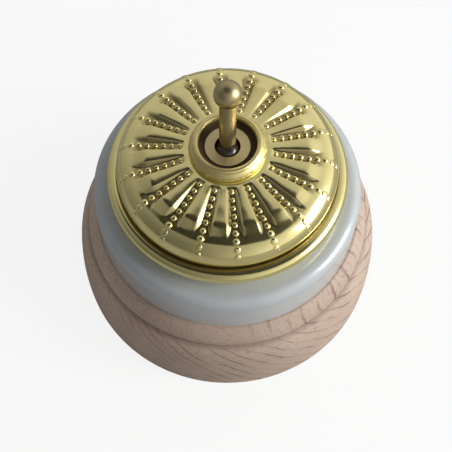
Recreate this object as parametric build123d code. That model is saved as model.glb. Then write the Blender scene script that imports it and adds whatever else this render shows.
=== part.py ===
from build123d import *
import os
from math import asin, atan, cos, degrees, radians, sin, sqrt, tan

# Millimetres. Origin at the centre of the wall face, +Z out of the wall, +Y up the wall.

# Wooden pattress
PATTRESS_R = 44.7
PATTRESS_H = 29.0
BELLY_H = 17.0
BELLY_R = 43.1
QUIRK_R = 39.8
QUIRK_H = 22.3
BELLY_BULGE = 0.4
ROLL_BULGE = 1.0
SEAT_RIM = 0.6
CABLE_WELL_R = 17.0
BACK_RECESS_R = 20.0
BACK_RECESS_D = 9.0
WALL_SCREW_SPACING = 50.8
WALL_SCREW_R = 2.25
WALL_HEAD_R = 4.5
WALL_HEAD_D = 9.0

# Porcelain base
PORCELAIN_R = 36.3
PORCELAIN_H = 14.0
PORCELAIN_TAPER = 0.4
PORCELAIN_ROUND = 3.2
PORCELAIN_FLOOR = 5.0
WELL_R = 24.0
SPIGOT_H = 2.0
CABLE_HOLE_R = 4.2
CABLE_HOLE_X = 8.5
CABLE_HOLE_Y = 10.5

# Pressed brass cover
SHEET = 0.85
SKIRT_H = 2.25
BEAD_R = 2.05
BEAD_OUT = 0.85
SIDE_R = 28.4
SIDE_H = 7.9
SHOULDER_R = 5.5
DOME_LEAN = 6.4
CROWN_R = 11.2
CROWN_STEP = 0.3
PETALS = 18
PETAL_TURN = 5.0
PETAL_SPREAD = 5.4
PETAL_START = 10.6
PETAL_DIP = 0.02
PETAL_WALL = 0.6
PETAL_ROOT = 0.3
FACET_START = 20.5
FACET_TILT = 24.0
FACET_SINK = 0.12
STUDS_PER_ROW = 9
STUD_PITCH = 2.09
STUD_R = 0.8
STUD_TOP_R = 0.4
STUD_SINK = 0.3
STUD_PROUD = 0.45
STUD_SIDES = 5
STUD_START = 11.9

# Insulating liner under the cover
LINER = 0.5
LINER_GAP = 0.6

# Ring nut and threaded bush
NECK_ABOVE_CROWN = 1.3
ANNULUS_W = 2.4
RECESS_W = 1.6
RING_W = 2.4
RING_H = 3.45
RING_FLOOR = 0.9
RING_GROOVE_IN = 0.86
RING_GROOVE_H = 2.59
RING_LIP = 0.17
RING_CREST = 1.0
RING_INNER_H = 2.69
RING_BELLY_IN = 0.05
RING_BELLY_H = 1.55
BUSH_WALL = 1.2
BUSH_LID = 0.9
BUSH_FLANGE_W = 2.6
BUSH_FLANGE_H = 1.6
LOCKNUT_H = 1.5
LOCKNUT_W = 2.0

# Dolly: lever, insulating hub, pin, spring and plunger
TILT = 16.0
PIVOT_BELOW_TOP = 3.1
SHAFT_R = 2.08
BALL_R = 3.45
BALL_REACH = 18.25
HUB_R = 3.6
STUB_R = 1.2
STUB_START = 1.4
TAIL_R = 2.3
PIN_R = 0.8
BORE_R = 1.45
BORE_START = 3.2
PLUNGER_START = 7.0
PLUNGER_SHOW = 1.7
WIRE_R = 0.2
COIL_R = 0.95
COIL_TURNS = 5

# Bridge strap over the mechanism
STRAP_T = 1.5
STRAP_W = 10.0
STRAP_DROP = 6.9
STRAP_REACH = 15.0
STRAP_EYE_W = 3.1
FOOT_L = 6.5
FOOT_SCREW_X = 19.0
EARTH_X = 12.2

# Rocker, contacts and terminals
STRIP_T = 1.0
STRIP_W = 5.0
TAIL_STRIP_W = 4.0
STUD_CONTACT_H = 1.0
STUD_CONTACT_R = 1.8
ROCK = 8.0
ROCKER_ARM = 8.8
BLADE_T = 0.8
SADDLE_H = 2.75
SADDLE_DROP = 1.6
SADDLE_W = 5.0
SADDLE_WRAP = 45.0
TIP_R = 1.3
TIP_PROUD = 0.9
CHEEK_T = 1.0
CHEEK_W = 6.0
CHEEK_TOP = 1.8
ROCKER_PIN_R = 0.7
BLOCK_W = 6.5
BLOCK_H = 7.0
BLOCK_Y = 16.5
COMMON_X = 9.5
COMMON_Y = 13.5
WIRE_HOLE_R = 1.4
WIRE_HOLE_H = 4.0

# Screws
M3_R = 1.5
M3_HEAD_R = 2.6
M3_HEAD_H = 1.6
M3_NUT_AF = 5.5
M3_NUT_H = 2.4
CLAMP_R = 1.2
CLAMP_HEAD_R = 2.2
CLAMP_HEAD_H = 1.5
BLOCK_SCREW_R = 1.25
BLOCK_SCREW_HEAD_H = 1.4
BLOCK_SCREW_BITE = 2.2
WOOD_SCREW_R = 1.6
WOOD_SCREW_HEAD_R = 3.2
WOOD_SCREW_L = 15.0
WOOD_SCREW_AT = 19.5
WOOD_SCREW_ANGLE = -30.0
WOOD_TIP_R = 0.2
WOOD_TIP_L = 3.2
SLOT_W = 0.65
SLOT_D = 0.65
WASHER_T = 0.8

# Clearances
RUNNING = 0.05
SLIDING = 0.1
SHAFT_CLEAR = 0.15
SWING_CLEAR = 0.2
LOOSE = 0.25
CHEEK_CLEAR = 0.3
NOSE_CLEAR = 0.1
SPIGOT_CLEAR = 0.2
CONTACT_CLEAR = 0.03
THREAD_CLEAR = 0.03

# How far a cut runs past the faces that it goes through
CUT_PAST = 2.0

# Levels up the axis
SEAT_Z = PATTRESS_H
FLOOR_Z = SEAT_Z + PORCELAIN_FLOOR
RIM_Z = SEAT_Z + PORCELAIN_H
BEAD_Z = RIM_Z + SKIRT_H + BEAD_R
CREASE_Z = BEAD_Z + sqrt(BEAD_R**2 - BEAD_OUT**2)
SHOULDER_Z = RIM_Z + SIDE_H
SHOULDER_C = SIDE_R - SHOULDER_R
DOME_EDGE_R = SHOULDER_C + SHOULDER_R * sin(radians(DOME_LEAN))
DOME_EDGE_Z = SHOULDER_Z + SHOULDER_R * cos(radians(DOME_LEAN))
DOME_TOP_Z = DOME_EDGE_Z + (DOME_EDGE_R - CROWN_R) * tan(radians(DOME_LEAN))
CROWN_Z = DOME_TOP_Z + CROWN_STEP
NECK_Z = CROWN_Z + NECK_ABOVE_CROWN
PIVOT_Z = NECK_Z - PIVOT_BELOW_TOP
STRAP_Z = PIVOT_Z - STRAP_DROP
BUSH_FOOT_Z = STRAP_Z - STRAP_T - LOCKNUT_H
STRIP_Z = FLOOR_Z + STRIP_T
TIP_SPHERE_DROP = SADDLE_DROP + BLADE_T + TIP_PROUD - TIP_R
TIP_REACH = ROCKER_ARM * cos(radians(ROCK)) - TIP_SPHERE_DROP * sin(radians(ROCK))
TIP_DROP = ROCKER_ARM * sin(radians(ROCK)) + TIP_SPHERE_DROP * cos(radians(ROCK)) + TIP_R
ROCKER_Z = STRIP_Z + STUD_CONTACT_H + CONTACT_CLEAR + TIP_DROP

# Radii that follow from what passes through or seats
SPIGOT_R = SIDE_R - SHEET - SPIGOT_CLEAR
BUSH_HOLE_R = PIVOT_BELOW_TOP * tan(radians(TILT)) + SHAFT_R / cos(radians(TILT)) + SHAFT_CLEAR
NECK_R = BUSH_HOLE_R + ANNULUS_W
CHAMBER_R = NECK_R - BUSH_WALL
TAIL_SPREAD = TAIL_R / cos(radians(TILT)) + SWING_CLEAR
CHAMBER_DEPTH = (CHAMBER_R - TAIL_SPREAD) / tan(radians(TILT))
THROAT_R = (PIVOT_Z - BUSH_FOOT_Z) * tan(radians(TILT)) + TAIL_SPREAD
BUSH_SPIGOT_R = THROAT_R + BUSH_WALL
RECESS_R = NECK_R + RECESS_W
RING_R = RECESS_R + RING_W

# The plunger's nose runs in a round trough of the saddle while both tilt
NOSE_R = BORE_R - SLIDING
PIVOT_GAP = PIVOT_Z - ROCKER_Z
NOSE_REACH = PIVOT_GAP - SADDLE_H - NOSE_R - NOSE_CLEAR
NOSE_OUT = NOSE_REACH * sin(radians(TILT))
NOSE_UP = PIVOT_GAP - NOSE_REACH * cos(radians(TILT))
PATH_Y = NOSE_OUT * cos(radians(ROCK)) - NOSE_UP * sin(radians(ROCK))
PATH_RISE = NOSE_OUT * sin(radians(ROCK)) + NOSE_UP * cos(radians(ROCK)) - (PIVOT_GAP - NOSE_REACH)
PATH_R = (PATH_Y**2 + PATH_RISE**2) / (2 * PATH_RISE)
TROUGH_R = PATH_R + NOSE_R + NOSE_CLEAR
TROUGH_Z = SADDLE_H + TROUGH_R
SADDLE_HALF = TROUGH_R * sin(radians(SADDLE_WRAP))
SADDLE_TOP = TROUGH_Z - TROUGH_R * cos(radians(SADDLE_WRAP))
TAIL_END = NOSE_REACH - PLUNGER_SHOW

CABLE_HOLES = [(-CABLE_HOLE_X, -CABLE_HOLE_Y), (CABLE_HOLE_X, CABLE_HOLE_Y)]
FOOT_SCREWS = [(-FOOT_SCREW_X, 0), (FOOT_SCREW_X, 0)]
BLOCKS = [(0, BLOCK_Y), (0, -BLOCK_Y), (COMMON_X, -COMMON_Y)]
WOOD_SCREWS = [
    (
        WOOD_SCREW_AT * cos(radians(WOOD_SCREW_ANGLE + half_turn)),
        WOOD_SCREW_AT * sin(radians(WOOD_SCREW_ANGLE + half_turn)),
    )
    for half_turn in (0, 180)
]


def rod(radius, low, high, x=0.0, y=0.0):
    """Upright round bar between two heights."""
    return Pos(x, y, low) * Cylinder(radius, high - low, align=(Align.CENTER, Align.CENTER, Align.MIN))


def slab(length, width, low, high, x=0.0, y=0.0):
    """Upright block between two heights, centred on x and y."""
    floor = (Align.CENTER, Align.CENTER, Align.MIN)
    return Pos(x, y, low) * Box(length, width, high - low, align=floor)


def turned(*edges):
    """Body of revolution about Z from the edges of its half section in XZ."""
    return revolve(Plane.XZ * make_face(edges), Axis.Z)


def on_arc(centre, radius, angle):
    """Point of a circle in the half section, angle in degrees from +X."""
    return (centre[0] + radius * cos(radians(angle)), centre[1] + radius * sin(radians(angle)))


def dolly_frame():
    """Axis of the dolly as it stands: Z runs up the lever, origin at the pivot."""
    return Pos(0, 0, PIVOT_Z) * Rot(-TILT, 0, 0)


def rocker_frame():
    """Axis system of the rocker as it stands, origin at its pin."""
    return Pos(0, 0, ROCKER_Z) * Rot(ROCK, 0, 0)


def wood_pattress():
    belly_foot = (PATTRESS_R, 0)
    belly = (BELLY_R, BELLY_H)
    belly_mid = ((PATTRESS_R + BELLY_R) / 2 + BELLY_BULGE, BELLY_H / 2)
    quirk = (QUIRK_R, QUIRK_H)
    seat_r = PORCELAIN_R + SEAT_RIM
    seat_edge = (seat_r, SEAT_Z)
    roll = Line(quirk, seat_edge)
    roll_mid = roll @ 0.5 + Vector(SEAT_Z - QUIRK_H, QUIRK_R - seat_r) * (ROLL_BULGE / roll.length)
    side = ThreePointArc(belly_foot, belly_mid, belly)
    shoulder = TangentArc(belly, quirk, tangent=side % 1)
    body = turned(
        side,
        shoulder,
        ThreePointArc(quirk, roll_mid, seat_edge),
        Polyline(
            seat_edge,
            (CABLE_WELL_R, SEAT_Z),
            (CABLE_WELL_R, BACK_RECESS_D),
            (BACK_RECESS_R, BACK_RECESS_D),
            (BACK_RECESS_R, 0),
            belly_foot,
        ),
    )
    for x in (-WALL_SCREW_SPACING / 2, WALL_SCREW_SPACING / 2):
        body -= rod(WALL_SCREW_R, 0, SEAT_Z, x)
        body -= rod(WALL_HEAD_R, SEAT_Z - WALL_HEAD_D, SEAT_Z, x)
    for x, y in WOOD_SCREWS:
        body -= rod(WOOD_SCREW_R + THREAD_CLEAR, FLOOR_Z - WOOD_SCREW_L, SEAT_Z, x, y)
    return body


def porcelain_base():
    top_r = PORCELAIN_R - PORCELAIN_TAPER
    centre = (top_r - PORCELAIN_ROUND, RIM_Z - PORCELAIN_ROUND)
    body = turned(
        Line((PORCELAIN_R, SEAT_Z), on_arc(centre, PORCELAIN_ROUND, 0)),
        ThreePointArc(*(on_arc(centre, PORCELAIN_ROUND, a) for a in (0, 45, 90))),
        Polyline(
            on_arc(centre, PORCELAIN_ROUND, 90),
            (SPIGOT_R, RIM_Z),
            (SPIGOT_R, RIM_Z + SPIGOT_H),
            (WELL_R, RIM_Z + SPIGOT_H),
            (WELL_R, FLOOR_Z),
            (0, FLOOR_Z),
            (0, SEAT_Z),
            (PORCELAIN_R, SEAT_Z),
        ),
    )
    for x, y in CABLE_HOLES:
        body -= rod(CABLE_HOLE_R, SEAT_Z, FLOOR_Z, x, y)
    for x, y in FOOT_SCREWS:
        body -= rod(M3_R + SLIDING, SEAT_Z, FLOOR_Z, x, y)
        body -= nut_blank(x, y, SEAT_Z, SEAT_Z + M3_NUT_H + SWING_CLEAR, SLIDING)
    for x, y in BLOCKS:
        body -= rod(BLOCK_SCREW_R + SLIDING, SEAT_Z, FLOOR_Z, x, y)
        body -= rod(M3_HEAD_R + LOOSE, SEAT_Z, SEAT_Z + BLOCK_SCREW_HEAD_H + SWING_CLEAR, x, y)
    for x, y in WOOD_SCREWS:
        body -= rod(WOOD_SCREW_R + SLIDING, SEAT_Z, FLOOR_Z, x, y)
        body -= countersink(x, y, THREAD_CLEAR)
    return body


def nut_blank(x, y, low, high, clear=0.0):
    """Hexagon of the M3 nut between two heights."""
    hexagon = RegularPolygon(M3_NUT_AF / 2 + clear, 6, major_radius=False)
    return Pos(x, y, low) * extrude(hexagon, high - low)


def countersink(x, y, clear=0.0):
    """Flat head of the wood screw, flush with the porcelain floor."""
    deep = WOOD_SCREW_HEAD_R - WOOD_SCREW_R
    head = Cone(WOOD_SCREW_R + clear, WOOD_SCREW_HEAD_R + clear, deep)
    return Pos(x, y, FLOOR_Z - deep / 2) * head


def outside_line():
    """Edges of the cover's outer half section, from its crown down to its foot."""
    bead = (SIDE_R + BEAD_OUT, BEAD_Z)
    crease = (SIDE_R, CREASE_Z)
    neck = on_arc(bead, BEAD_R, -90)
    return [
        *cap_line(0),
        Line((SIDE_R, SHOULDER_Z), crease),
        ThreePointArc(crease, on_arc(bead, BEAD_R, 0), neck),
        Line(neck, (bead[0], RIM_Z)),
    ]


def inside_line():
    """Edges of the cover's inner half section, plain behind the solid bead."""
    bend = on_arc((SHOULDER_C, SHOULDER_Z), SHOULDER_R - SHEET, (90 - DOME_LEAN) / 2)
    wall_r = SIDE_R - SHEET
    cap = cap_line(SHEET)[0]
    return [cap, Polyline(cap @ 1, bend, (wall_r, SHOULDER_Z), (wall_r, RIM_Z))]


def cap_line(inset):
    """Flat top, sloping dome and shoulder of the half section, down to the top of the side wall."""
    shoulder_r = SHOULDER_R - inset
    centre = (SHOULDER_C, SHOULDER_Z)
    top_z = DOME_TOP_Z - inset
    knee = (CROWN_R - inset * tan(radians(DOME_LEAN / 2)), top_z)
    joint = on_arc(centre, shoulder_r, 90 - DOME_LEAN)
    side = on_arc(centre, shoulder_r, 0)
    return [
        Polyline((0, top_z), knee, joint),
        ThreePointArc(joint, on_arc(centre, shoulder_r, (90 - DOME_LEAN) / 2), side),
    ]


def under(line, floor_z):
    """Solid of revolution below a half section line that starts on the axis."""
    foot = line[-1] @ 1
    return turned(*line, Polyline((foot.X, foot.Y), (0, floor_z), (0, (line[0] @ 0).Y)))


def petal():
    """One petal of the pressing, along +X: a nearly level top, an outer facet and sloping sides."""
    tilt = tan(radians(FACET_TILT))
    end_x, touch_z = on_arc((SHOULDER_C, SHOULDER_Z), SHOULDER_R, 90 - FACET_TILT)
    end_z = touch_z - FACET_SINK / cos(radians(FACET_TILT))
    facet_z = end_z + (end_x - FACET_START) * tilt
    dome_z = DOME_EDGE_Z + (DOME_EDGE_R - FACET_START) * tan(radians(DOME_LEAN))
    sections = [
        (PETAL_START, CROWN_Z - PETAL_DIP, DOME_TOP_Z - PETAL_ROOT),
        (FACET_START, facet_z, dome_z - PETAL_ROOT),
        (end_x, end_z, end_z - PETAL_ROOT),
    ]
    corners = []
    for x, top, root in sections:
        half = x * tan(radians(PETAL_SPREAD))
        foot = half + PETAL_WALL * (top - root)
        corners += [(x, -half, top), (x, half, top), (x, -foot, root), (x, foot, root)]
    return ConvexPolyhedron(corners)


def stud_row():
    """One row of studs along +X, each faceted and square to the sheet."""
    height = STUD_SINK + STUD_PROUD
    slant = degrees(atan((STUD_R - STUD_TOP_R) / height))
    stud = extrude(RegularPolygon(STUD_R, STUD_SIDES), height, taper=slant)
    lean = radians(DOME_LEAN)
    run = (DOME_EDGE_R - STUD_START) / cos(lean)
    studs = []
    for i in range(STUDS_PER_ROW):
        past = i * STUD_PITCH - run
        angle = DOME_LEAN + max(0.0, degrees(past / SHOULDER_R))
        x, z = on_arc((SHOULDER_C, SHOULDER_Z), SHOULDER_R, 90 - angle)
        back = min(0.0, past)
        spot = Pos(x + back * cos(lean), 0, z - back * sin(lean))
        studs.append(spot * Rot(0, angle, 0) * Pos(0, 0, -STUD_SINK) * stud)
    return studs


def around(solids, offset=0.0):
    """Copies of the solids at every petal pitch."""
    pitch = 360 / PETALS
    turns = [Rot(0, 0, PETAL_TURN - 90 + offset + i * pitch) for i in range(PETALS)]
    return [turn * solid for turn in turns for solid in solids]


def brass_cover():
    hole = NECK_R + LOOSE
    half = 180 / PETALS
    crown = rod(CROWN_R, CROWN_Z - SHEET, CROWN_Z)
    outer = under(outside_line(), RIM_Z).fuse(crown, *around([petal()], half))
    shell = outer.cut(under(inside_line(), RIM_Z), rod(hole, RIM_Z, NECK_Z))
    return shell.fuse(*around(stud_row()))


def cover_liner():
    depth = LINER_GAP + SHEET
    outer = under([*cap_line(depth), foot_line(depth)], RIM_Z + SPIGOT_H)
    inner = under([*cap_line(depth + LINER), foot_line(depth + LINER)], RIM_Z + SPIGOT_H)
    return outer - inner - rod(NECK_R + 2 * LOOSE, RIM_Z, NECK_Z)


def foot_line(inset):
    """The liner's straight wall, down to the top of the porcelain spigot."""
    return Line((SIDE_R - inset, SHOULDER_Z), (SIDE_R - inset, RIM_Z + SPIGOT_H))


def ring_nut():
    base = CROWN_Z
    thread = NECK_R + THREAD_CLEAR
    top = base + RING_H
    groove = (RING_R - RING_GROOVE_IN, base + RING_GROOVE_H)
    lip_out = (groove[0], groove[1] + RING_LIP)
    crest_mid = (RECESS_R + RING_CREST, top)
    lip_in = (RECESS_R, base + RING_INNER_H)
    return turned(
        Line((thread, base), (RING_R, base)),
        ThreePointArc((RING_R, base), (RING_R - RING_BELLY_IN, base + RING_BELLY_H), groove),
        Line(groove, lip_out),
        ThreePointArc(lip_out, crest_mid, lip_in),
        Polyline(lip_in, (RECESS_R, base + RING_FLOOR), (thread, base + RING_FLOOR), (thread, base)),
    )


def dolly_bush():
    lid = NECK_Z - BUSH_LID
    step = PIVOT_Z - CHAMBER_DEPTH
    flange_r = BUSH_SPIGOT_R + BUSH_FLANGE_W
    body = turned(
        Polyline(
            (BUSH_HOLE_R, NECK_Z),
            (NECK_R, NECK_Z),
            (NECK_R, STRAP_Z + BUSH_FLANGE_H),
            (flange_r, STRAP_Z + BUSH_FLANGE_H),
            (flange_r, STRAP_Z),
            (BUSH_SPIGOT_R, STRAP_Z),
            (BUSH_SPIGOT_R, BUSH_FOOT_Z),
            (THROAT_R, BUSH_FOOT_Z),
            (CHAMBER_R, step),
            (CHAMBER_R, lid),
            (BUSH_HOLE_R, lid),
            (BUSH_HOLE_R, NECK_Z),
        )
    )
    return body - Pos(0, 0, PIVOT_Z) * Rot(0, 90, 0) * Cylinder(PIN_R, 2 * NECK_R + CUT_PAST)


def bush_locknut():
    across = 2 * (BUSH_SPIGOT_R + LOCKNUT_W)
    hexagon = extrude(RegularPolygon(across / 2, 6, major_radius=False), LOCKNUT_H)
    return Pos(0, 0, BUSH_FOOT_Z) * hexagon - rod(BUSH_SPIGOT_R + THREAD_CLEAR, 0, STRAP_Z)


def dolly_pin():
    return Pos(0, 0, PIVOT_Z) * Rot(0, 90, 0) * Cylinder(PIN_R, 2 * NECK_R)


def dolly_lever():
    seat = sqrt(HUB_R**2 - SHAFT_R**2)
    shaft = rod(SHAFT_R, seat, BALL_REACH)
    stub = rod(STUB_R, STUB_START, seat)
    return dolly_frame() * (shaft + stub + Pos(0, 0, BALL_REACH) * Sphere(BALL_R))


def dolly_hub():
    seat = sqrt(HUB_R**2 - SHAFT_R**2)
    body = Sphere(HUB_R) - rod(HUB_R, seat, HUB_R + CUT_PAST)
    body += rod(TAIL_R, -TAIL_END, 0)
    body -= rod(STUB_R, STUB_START, seat)
    body -= rod(BORE_R, -TAIL_END, -BORE_START)
    body -= Rot(0, 90, 0) * Cylinder(PIN_R + RUNNING, 2 * HUB_R + CUT_PAST)
    return dolly_frame() * body


def spring_plunger():
    body = rod(NOSE_R, -NOSE_REACH, -PLUNGER_START) + Pos(0, 0, -NOSE_REACH) * Sphere(NOSE_R)
    return dolly_frame() * body


def toggle_spring():
    room = PLUNGER_START - BORE_START
    height = room - 2 * WIRE_R - 2 * CONTACT_CLEAR
    coil = Helix(height / COIL_TURNS, height, COIL_R)
    wire = sweep(Plane(coil @ 0, z_dir=coil % 0) * Circle(WIRE_R), path=coil, is_frenet=True)
    return dolly_frame() * Pos(0, 0, WIRE_R + CONTACT_CLEAR - PLUNGER_START) * wire


def bridge_strap():
    span = 2 * STRAP_REACH + STRAP_T
    plate = slab(span, STRAP_W, STRAP_Z - STRAP_T, STRAP_Z)
    plate += rod(BUSH_SPIGOT_R + STRAP_EYE_W, STRAP_Z - STRAP_T, STRAP_Z)
    for side in (-1, 1):
        plate += slab(STRAP_T, STRAP_W, FLOOR_Z, STRAP_Z, side * STRAP_REACH)
        foot_x = STRAP_REACH + FOOT_L / 2
        plate += slab(FOOT_L + STRAP_T, STRAP_W, FLOOR_Z, FLOOR_Z + STRAP_T, side * foot_x)
    for x, y in FOOT_SCREWS:
        plate -= rod(M3_R + SLIDING, FLOOR_Z, FLOOR_Z + STRAP_T, x, y)
    plate -= rod(BUSH_SPIGOT_R + RUNNING, FLOOR_Z + STRAP_T, STRAP_Z)
    plate -= rod(M3_R, STRAP_Z - STRAP_T, STRAP_Z, -EARTH_X)
    return plate


def bridge_screws():
    seat = FLOOR_Z + STRAP_T
    foot = SEAT_Z + SWING_CLEAR
    screws = []
    for x, y in FOOT_SCREWS:
        head = slotted(rod(M3_HEAD_R, seat, seat + M3_HEAD_H, x, y), x, y, seat + M3_HEAD_H)
        screws.append(head + rod(M3_R, foot, seat, x, y))
    return screws


def slotted(head, x, y, top):
    """Screw head with a driver slot across it."""
    return head - slab(2 * WOOD_SCREW_HEAD_R + CUT_PAST, SLOT_W, top - SLOT_D, top, x, y)


def bridge_nuts():
    low = SEAT_Z + SWING_CLEAR
    bore = M3_R + THREAD_CLEAR
    return [nut_blank(x, y, low, low + M3_NUT_H) - rod(bore, low, FLOOR_Z, x, y) for x, y in FOOT_SCREWS]


def earth_washer():
    top = STRAP_Z + WASHER_T
    ring = rod(M3_HEAD_R + LOOSE, STRAP_Z, top, -EARTH_X)
    return ring - rod(M3_R + SLIDING, STRAP_Z, top, -EARTH_X)


def earth_screw():
    seat = STRAP_Z + WASHER_T
    head = rod(M3_HEAD_R, seat, seat + M3_HEAD_H, -EARTH_X)
    shank = rod(M3_R, STRAP_Z - 2 * STRAP_T, seat, -EARTH_X)
    return slotted(head, -EARTH_X, 0, seat + M3_HEAD_H) + shank


def base_screws():
    deep = WOOD_SCREW_HEAD_R - WOOD_SCREW_R
    screws = []
    for x, y in WOOD_SCREWS:
        tip = FLOOR_Z - WOOD_SCREW_L
        shank = rod(WOOD_SCREW_R, tip + WOOD_TIP_L, FLOOR_Z - deep, x, y)
        point = Pos(x, y, tip + WOOD_TIP_L / 2) * Cone(WOOD_TIP_R, WOOD_SCREW_R, WOOD_TIP_L)
        screws.append(slotted(countersink(x, y), x, y, FLOOR_Z) + shank + point)
    return screws


def rocker_bracket():
    """Folded strip: two cheeks for the rocker's pin and a tail to the common terminal."""
    inner = SADDLE_W / 2 + CHEEK_CLEAR
    outer = inner + CHEEK_T
    base = slab(2 * outer, CHEEK_W, FLOOR_Z, STRIP_Z)
    for side in (-1, 1):
        x = side * (inner + outer) / 2
        base += slab(CHEEK_T, CHEEK_W, FLOOR_Z, ROCKER_Z, x)
        base += Pos(x, 0, ROCKER_Z) * Rot(0, 90, 0) * Cylinder(CHEEK_W / 2, CHEEK_T)
        base -= slab(CHEEK_T, CHEEK_W, ROCKER_Z + CHEEK_TOP, ROCKER_Z + CHEEK_W, x)
    start = Vector(inner + CHEEK_T / 2, 0)
    end = Vector(COMMON_X, -COMMON_Y)
    run = end - start
    middle = (start + end) / 2
    angle = degrees(asin(run.Y / run.length))
    tail = Rot(0, 0, angle) * Box(run.length, TAIL_STRIP_W, STRIP_T)
    base += Pos(middle.X, middle.Y, (FLOOR_Z + STRIP_Z) / 2) * tail
    base += slab(BLOCK_W, BLOCK_W, FLOOR_Z, STRIP_Z, COMMON_X, -COMMON_Y)
    base -= rod(BLOCK_SCREW_R + SLIDING, FLOOR_Z, STRIP_Z, COMMON_X, -COMMON_Y)
    return base - Pos(0, 0, ROCKER_Z) * Rot(0, 90, 0) * Cylinder(ROCKER_PIN_R, 2 * outer + CUT_PAST)


def rocker_pin():
    length = SADDLE_W + 2 * (CHEEK_CLEAR + CHEEK_T)
    return Pos(0, 0, ROCKER_Z) * Rot(0, 90, 0) * Cylinder(ROCKER_PIN_R, length)


def rocker_saddle():
    body = slab(SADDLE_W, 2 * SADDLE_HALF, -SADDLE_DROP, SADDLE_TOP)
    body -= Pos(0, 0, TROUGH_Z) * Rot(0, 90, 0) * Cylinder(TROUGH_R, SADDLE_W + CUT_PAST)
    body -= Rot(0, 90, 0) * Cylinder(ROCKER_PIN_R + RUNNING, SADDLE_W + CUT_PAST)
    return rocker_frame() * body


def contact_blade():
    tip_base = sqrt(TIP_R**2 - (TIP_R - TIP_PROUD) ** 2)
    length = 2 * (ROCKER_ARM + tip_base + SLIDING)
    low = -SADDLE_DROP - BLADE_T
    return rocker_frame() * slab(SADDLE_W, length, low, -SADDLE_DROP)


def moving_contacts():
    under = -SADDLE_DROP - BLADE_T
    centre = under - TIP_PROUD + TIP_R
    wide = 2 * TIP_R + CUT_PAST
    tips = []
    for side in (-1, 1):
        ball = Pos(0, side * ROCKER_ARM, centre) * Sphere(TIP_R)
        above = slab(wide, wide, under, centre + TIP_R + CUT_PAST, 0, side * ROCKER_ARM)
        tips.append(rocker_frame() * (ball - above))
    return tips


def way_contact(side):
    near = TIP_REACH - STUD_CONTACT_R
    far = BLOCK_Y + BLOCK_W / 2
    strip = slab(STRIP_W, far - near, FLOOR_Z, STRIP_Z, 0, side * (near + far) / 2)
    return strip - rod(BLOCK_SCREW_R + SLIDING, FLOOR_Z, STRIP_Z, 0, side * BLOCK_Y)


def fixed_contacts():
    high = STRIP_Z + STUD_CONTACT_H
    return [rod(STUD_CONTACT_R, STRIP_Z, high, 0, side * TIP_REACH) for side in (-1, 1)]


def terminal(x, y):
    wire = STRIP_Z + WIRE_HOLE_H
    block = slab(BLOCK_W, BLOCK_W, STRIP_Z, STRIP_Z + BLOCK_H, x, y)
    block -= Pos(x, y, wire) * Rot(90, 0, 0) * Cylinder(WIRE_HOLE_R, BLOCK_W + CUT_PAST)
    block -= rod(CLAMP_R, wire, STRIP_Z + BLOCK_H, x, y)
    return block - rod(BLOCK_SCREW_R, STRIP_Z, STRIP_Z + BLOCK_SCREW_BITE, x, y)


def terminal_screws():
    """Wire clamp screws, standing on the tops of the blocks."""
    low = STRIP_Z + WIRE_HOLE_H + WIRE_HOLE_R
    top = STRIP_Z + BLOCK_H
    screws = []
    for x, y in BLOCKS:
        head = rod(CLAMP_HEAD_R, top, top + CLAMP_HEAD_H, x, y)
        screws.append(slotted(head, x, y, top + CLAMP_HEAD_H) + rod(CLAMP_R, low, top, x, y))
    return screws


def block_screws():
    """Screws up through the porcelain into the terminal blocks."""
    seat = SEAT_Z + BLOCK_SCREW_HEAD_H + SWING_CLEAR
    screws = []
    for x, y in BLOCKS:
        head = rod(M3_HEAD_R, seat - BLOCK_SCREW_HEAD_H, seat, x, y)
        screws.append(head + rod(BLOCK_SCREW_R, seat, STRIP_Z + BLOCK_SCREW_BITE, x, y))
    return screws


NODES = {
    "wood_pattress": wood_pattress,
    "porcelain_base": porcelain_base,
    "brass_cover": brass_cover,
    "cover_liner": cover_liner,
    "ring_nut": ring_nut,
    "dolly_bush": dolly_bush,
    "bush_locknut": bush_locknut,
    "dolly_pin": dolly_pin,
    "dolly_lever": dolly_lever,
    "dolly_hub": dolly_hub,
    "spring_plunger": spring_plunger,
    "toggle_spring": toggle_spring,
    "bridge_strap": bridge_strap,
    "bridge_screws": bridge_screws,
    "bridge_nuts": bridge_nuts,
    "earth_washer": earth_washer,
    "earth_screw": earth_screw,
    "base_screws": base_screws,
    "rocker_bracket": rocker_bracket,
    "rocker_pin": rocker_pin,
    "rocker_saddle": rocker_saddle,
    "contact_blade": contact_blade,
    "moving_contacts": moving_contacts,
    "way_contact_upper": lambda: way_contact(1),
    "way_contact_lower": lambda: way_contact(-1),
    "fixed_contacts": fixed_contacts,
    "terminal_upper": lambda: terminal(*BLOCKS[0]),
    "terminal_lower": lambda: terminal(*BLOCKS[1]),
    "terminal_common": lambda: terminal(*BLOCKS[2]),
    "terminal_screws": terminal_screws,
    "block_screws": block_screws,
}


def write(name, shape):
    """Save one node as a STEP file, solids of a group side by side."""
    solids = shape if isinstance(shape, list) else [shape]
    solids = [solid for item in solids for solid in item.solids()]
    export_step(solids[0] if len(solids) == 1 else Compound(solids), f"parts/{name}.step")


os.makedirs("parts", exist_ok=True)
for node, make in NODES.items():
    write(node, make())
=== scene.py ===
import math
import random

import bpy
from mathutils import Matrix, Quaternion, Vector, noise as shape_noise


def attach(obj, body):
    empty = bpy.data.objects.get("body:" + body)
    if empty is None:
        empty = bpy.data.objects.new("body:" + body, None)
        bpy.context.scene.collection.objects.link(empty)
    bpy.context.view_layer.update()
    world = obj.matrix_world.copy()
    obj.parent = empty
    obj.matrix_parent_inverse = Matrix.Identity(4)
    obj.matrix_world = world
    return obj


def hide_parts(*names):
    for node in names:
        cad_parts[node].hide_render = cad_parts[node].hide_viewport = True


# Metres in the scene. The sizes below are millimetres, as in the part's source, and the angles degrees.
MM = 0.001

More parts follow.
